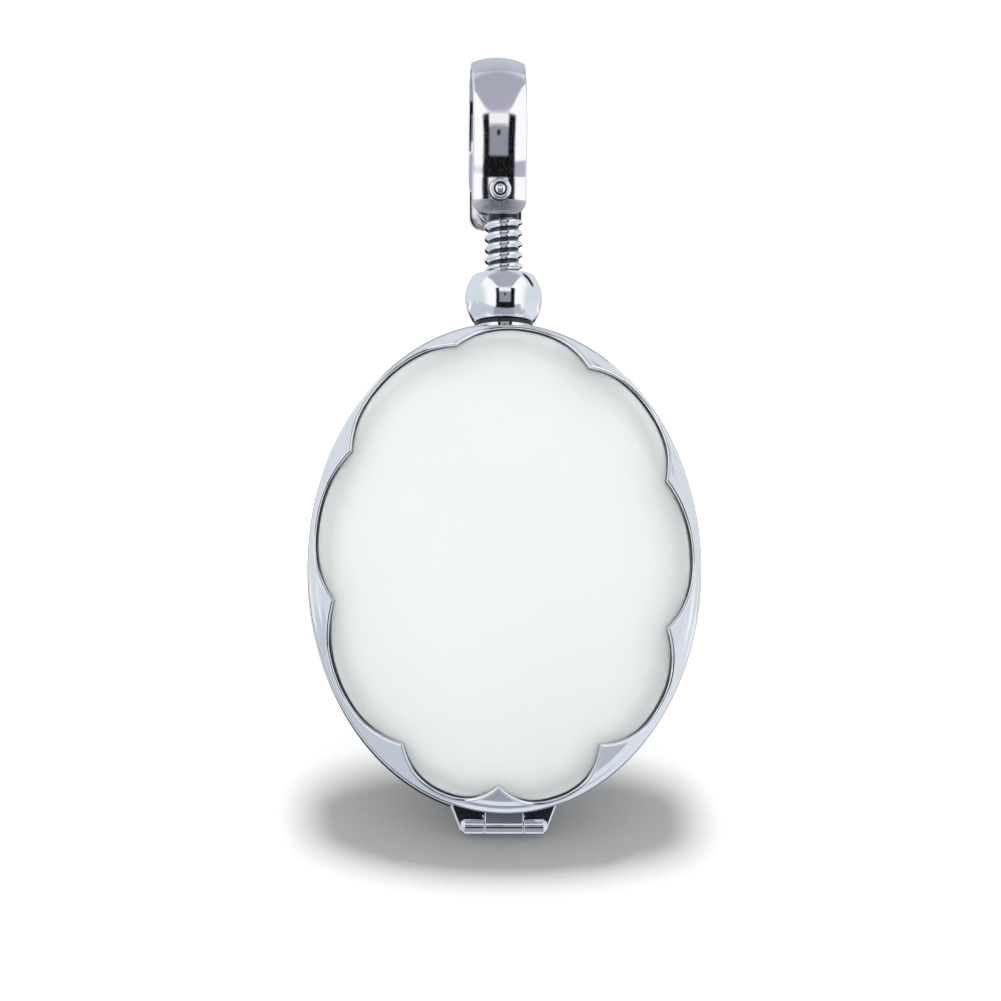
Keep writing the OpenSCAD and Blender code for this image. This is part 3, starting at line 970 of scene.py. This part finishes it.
class LOCKET_OT_hinge_pin(Operator):
    """Builds the hinge pin with its rounded ends"""

    bl_idname = "locket.hinge_pin"
    bl_label = "Hinge pin"

    def execute(self, context):
        hinge = context.scene.locket_hinge
        bm = bmesh.new()
        r, half, sides = hinge.pin_d / 2, hinge.length / 2, 32
        end = [(share * r, half - back * MM) for share, back in PIN_END]
        turns = [2 * pi * k / sides for k in range(sides)]
        rows = [
            [Vector((x, out * cos(t), hinge.axis_z + out * sin(t))) for t in turns]
            for out, x in [(out, -x) for out, x in end] + end[::-1]
        ]
        skin(bm, rows)
        piece("pin", bm, [polished_silver()], "back_half", "hinge_pin")
        return {"FINISHED"}


# The studio


def between(tree, value, low, high, soft, within=1.0):
    """A mask that is 1 where a value lies between two limits, with soft edges, and ends where another mask does."""
    rise, fall = (
        add(
            tree, "ShaderNodeMapRange", {"Value": value, "From Min": limit - soft, "From Max": limit + soft},
            interpolation_type="SMOOTHSTEP",
        )
        for limit in (low, high)
    )
    mask = add(tree, "ShaderNodeMath", {0: rise.outputs["Result"], 1: fall.outputs["Result"]}, operation="SUBTRACT")
    return add(tree, "ShaderNodeMath", {0: mask.outputs[0], 1: within}, operation="MULTIPLY").outputs[0]


def tent_patches(tree):
    """The masks and the web colours of all that hangs in the tent, in the order in which it is laid."""
    way = add(tree, "ShaderNodeTexCoord").outputs["Generated"]
    parts = add(tree, "ShaderNodeSeparateXYZ", {"Vector": way})
    x, y, z = (parts.outputs[k] for k in "XYZ")
    # an angle to the side, and an angle that goes round from the front over the top to the back
    side = add(tree, "ShaderNodeMath", {0: x}, operation="ARCSINE").outputs[0]
    front = add(tree, "ShaderNodeMath", {0: y, 1: -1.0}, operation="MULTIPLY").outputs[0]
    up = add(tree, "ShaderNodeMath", {0: z, 1: front}, operation="ARCTAN2").outputs[0]
    # the second angle again, for a front edge of the ceiling that curves up to the sides
    square = add(tree, "ShaderNodeMath", {0: side, 1: side}, operation="MULTIPLY").outputs[0]
    fourth = add(tree, "ShaderNodeMath", {0: square, 1: 2.0}, operation="POWER").outputs[0]
    bow = add(tree, "ShaderNodeMath", {0: fourth, 1: 5.8}, operation="MULTIPLY").outputs[0]
    bowed = add(tree, "ShaderNodeMath", {0: up, 1: bow}, operation="SUBTRACT").outputs[0]

    def patch(left, right, low, high, soft, height=up):
        """The mask of a patch, from its four limits and how soft they are, in degrees."""
        across = between(tree, side, radians(left), radians(right), radians(soft))
        return between(tree, height, radians(low), radians(high), radians(soft), across)

    inner = between(tree, side, radians(-58), radians(58), radians(12))
    walls = add(tree, "ShaderNodeMath", {0: 1.0, 1: inner}, operation="SUBTRACT").outputs[0]
    # the wall behind the locket, and the dark gap under it
    behind = between(tree, y, cos(radians(36)), 2.0, 0.04)
    low_behind = between(tree, z, -2.0, -0.03, 0.04, behind)
    # a dark flat that stands behind the locket on the right, and leans a little
    lean = add(tree, "ShaderNodeMath", {0: z, 1: 0.12}, operation="MULTIPLY").outputs[0]
    leaning = add(tree, "ShaderNodeMath", {0: y, 1: lean}, operation="ADD").outputs[0]
    flat = between(tree, x, 0.5, 1.2, 0.03)
    flat = between(tree, leaning, 0.16, 0.37, 0.03, flat)
    flat = between(tree, z, 0.44, 0.8, 0.05, flat)

    laid = [(walls, "#D2DCDF")]
    laid += [(patch(*limits), code) for *limits, code in TENT_PATCHES]
    # the ceiling, and its brighter part further back
    laid += [(patch(-58, 58, 25, 175, 3.0, bowed), "#A9A9B6"), (patch(-70, 70, 82, 175, 8.0), "#D6DDE3")]
    laid += [(behind, "#CDD3DA"), (low_behind, "#1E1E24"), (flat, "#101014")]
    return laid


def tent(context):
    """The light tent that the silver mirrors, with white walls, a lavender grey ceiling, a pale floor and a dark
    opening at the front. All other rays see plain white light."""
    stage = context.scene.locket_stage
    world = bpy.data.worlds.new("Light_tent")
    context.scene.world = world
    world.use_nodes = True
    tree = world.node_tree
    tree.nodes.clear()
    shown = linear("#FFFFFF")
    for mask, code in tent_patches(tree):
        shown = add(tree, "ShaderNodeMix", {0: mask, 6: shown, 7: linear(code)}, data_type="RGBA").outputs[2]
    tent_light = add(tree, "ShaderNodeBackground", {"Color": shown, "Strength": stage.tent_light})
    plain = add(tree, "ShaderNodeBackground", {"Color": linear("#FFFFFF"), "Strength": stage.plain_light})
    # rays that have gone through the glass count as glossy too, and see the plain light
    path = add(tree, "ShaderNodeLightPath")
    through, glossy = path.outputs["Is Transmission Ray"], path.outputs["Is Glossy Ray"]
    straight = add(tree, "ShaderNodeMath", {0: 1.0, 1: through}, operation="SUBTRACT").outputs[0]
    mirrored_ray = add(tree, "ShaderNodeMath", {0: glossy, 1: straight}, operation="MULTIPLY").outputs[0]
    both = add(tree, "ShaderNodeMixShader", {0: mirrored_ray, 1: plain.outputs[0], 2: tent_light.outputs[0]})
    add(tree, "ShaderNodeOutputWorld", {"Surface": both.outputs[0]})


def sweep_paper():
    """Uncoated drawing paper: a mid grey with no shine at all, so that it shows nothing but the soft shadow. It is
    clear from behind and where a part hangs below it, so that it hides nothing."""
    material, tree, shader, place = surface("Sweep_paper")
    drifting(tree, shader, place, "paper", 2, 2.0)
    shader.inputs["Roughness"].default_value = 0.9
    shader.inputs["Specular IOR Level"].default_value = 0.0
    facing = add(tree, "ShaderNodeNewGeometry")
    # the opened front half hangs down below the paper, in front of the parting plane
    below = add(
        tree, "ShaderNodeAmbientOcclusion",
        {"Distance": bpy.context.scene.locket_stage.paper_reach, "Normal": facing.outputs["True Normal"]},
        inside=True, samples=24,
    )
    covered = add(tree, "ShaderNodeMath", {0: below.outputs["AO"], 1: 0.93}, operation="LESS_THAN").outputs[0]
    depth = add(tree, "ShaderNodeSeparateXYZ", {"Vector": place}).outputs["Y"]
    in_front = add(tree, "ShaderNodeMath", {0: depth, 1: 0.5 * MM}, operation="LESS_THAN").outputs[0]
    opened = add(tree, "ShaderNodeMath", {0: covered, 1: in_front}, operation="MULTIPLY").outputs[0]
    back = facing.outputs["Backfacing"]
    unseen = add(tree, "ShaderNodeMath", {0: back, 1: opened}, operation="MAXIMUM").outputs[0]
    clear = add(tree, "ShaderNodeBsdfTransparent")
    mixed = add(tree, "ShaderNodeMixShader", {0: unseen, 1: shader.outputs[0], 2: clear.outputs[0]})
    output = next(n for n in tree.nodes if n.bl_idname == "ShaderNodeOutputMaterial")
    tree.links.new(mixed.outputs[0], output.inputs["Surface"])
    return material


class LOCKET_OT_stage(Operator):
    """Builds the camera, the light tent, the light from above and the paper under the locket"""

    bl_idname = "locket.stage"
    bl_label = "Stage"

    def execute(self, context):
        stage, scene = context.scene.locket_stage, context.scene
        camera = bpy.data.cameras.new("Camera")
        camera.lens = camera.sensor_width * stage.distance / stage.across
        camera.clip_start, camera.clip_end = 0.01, 20.0
        holder = bpy.data.objects.new("Camera", camera)
        look = Vector((sin(stage.turn) * cos(stage.tilt), cos(stage.turn) * cos(stage.tilt), sin(stage.tilt)))
        holder.location = Vector((stage.target_x, 0, stage.target_z)) - look * stage.distance
        holder.rotation_euler = look.to_track_quat("-Z", "Y").to_euler()
        scene.collection.objects.link(holder)
        scene.camera = holder
        scene.view_settings.view_transform = "Standard"
        tent(context)

        light = bpy.data.lights.new("Top_light", "SUN")
        light.energy, light.angle = stage.sun, stage.sun_angle
        lamp = bpy.data.objects.new("Top_light", light)
        lamp.rotation_euler = (stage.sun_lean, 0, 0)
        scene.collection.objects.link(lamp)

        bm = bmesh.new()
        rows = [
            [bm.verts.new((x, y * MM, z * MM)) for x in (-stage.paper_x, stage.paper_x)]
            for y, z in smooth_line(PAPER_LINE, 24)
        ]
        for low, high in zip(rows, rows[1:]):
            bm.faces.new((low[0], low[1], high[1], high[0])).smooth = True
        mesh = bpy.data.meshes.new("Sweep")
        bm.to_mesh(mesh)
        bm.free()
        mesh.materials.append(sweep_paper())
        sweep = bpy.data.objects.new("Sweep", mesh)
        scene.collection.objects.link(sweep)
        sweep.visible_glossy = sweep.visible_transmission = False
        # the light from above is set on the paper alone, and the locket shades it
        lit = bpy.data.collections.new("Lit_from_above")
        lit.objects.link(sweep)
        lamp.light_linking.receiver_collection = lit
        return {"FINISHED"}


class LOCKET_PT_panel(Panel):
    """The locket's buttons and sizes."""

    bl_label = "Glass dome locket"
    bl_idname = "LOCKET_PT_panel"
    bl_space_type = "VIEW_3D"
    bl_region_type = "UI"
    bl_category = "Locket"

    def draw(self, context):
        """Shows a button for each piece and for the stage, and then all the sizes and colours."""
        for operator in OPERATORS:
            self.layout.operator(operator.bl_idname)
        for name in SETTINGS:
            settings = getattr(context.scene, name)
            box = self.layout.box()
            for key in settings.bl_rna.properties.keys():
                if key not in {"rna_type", "name"}:
                    box.prop(settings, key)


SETTINGS = {
    "locket_case": LocketCase,
    "locket_glass": LocketGlass,
    "locket_bail": LocketBail,
    "locket_stem": LocketStem,
    "locket_hinge": LocketHinge,
    "locket_finish": LocketFinish,
    "locket_stage": LocketStage,
}
OPERATORS = (
    LOCKET_OT_bail, LOCKET_OT_rivet, LOCKET_OT_stem, LOCKET_OT_ball_nut, LOCKET_OT_back_frame,
    LOCKET_OT_front_frame, LOCKET_OT_glass, LOCKET_OT_hinge_pin, LOCKET_OT_stage,
)


def register():
    """Adds the settings, the operators and the panel to Blender."""
    for name, group in SETTINGS.items():
        bpy.utils.register_class(group)
        setattr(bpy.types.Scene, name, PointerProperty(type=group))
    for made in OPERATORS + (LOCKET_PT_panel,):
        bpy.utils.register_class(made)


def unregister():
    """Takes the panel, the operators and the settings out of Blender again."""
    for made in reversed(OPERATORS + (LOCKET_PT_panel,)):
        bpy.utils.unregister_class(made)
    for name, group in SETTINGS.items():
        delattr(bpy.types.Scene, name)
        bpy.utils.unregister_class(group)


def main():
    """Registers the add-on, and builds all the pieces and the stage."""
    register()
    bpy.ops.locket.bail()
    bpy.ops.locket.rivet()
    bpy.ops.locket.stem()
    bpy.ops.locket.ball_nut()
    bpy.ops.locket.back_frame()
    bpy.ops.locket.front_frame()
    bpy.ops.locket.glass()
    bpy.ops.locket.hinge_pin()
    bpy.ops.locket.stage()


if __name__ == "__main__":
    main()
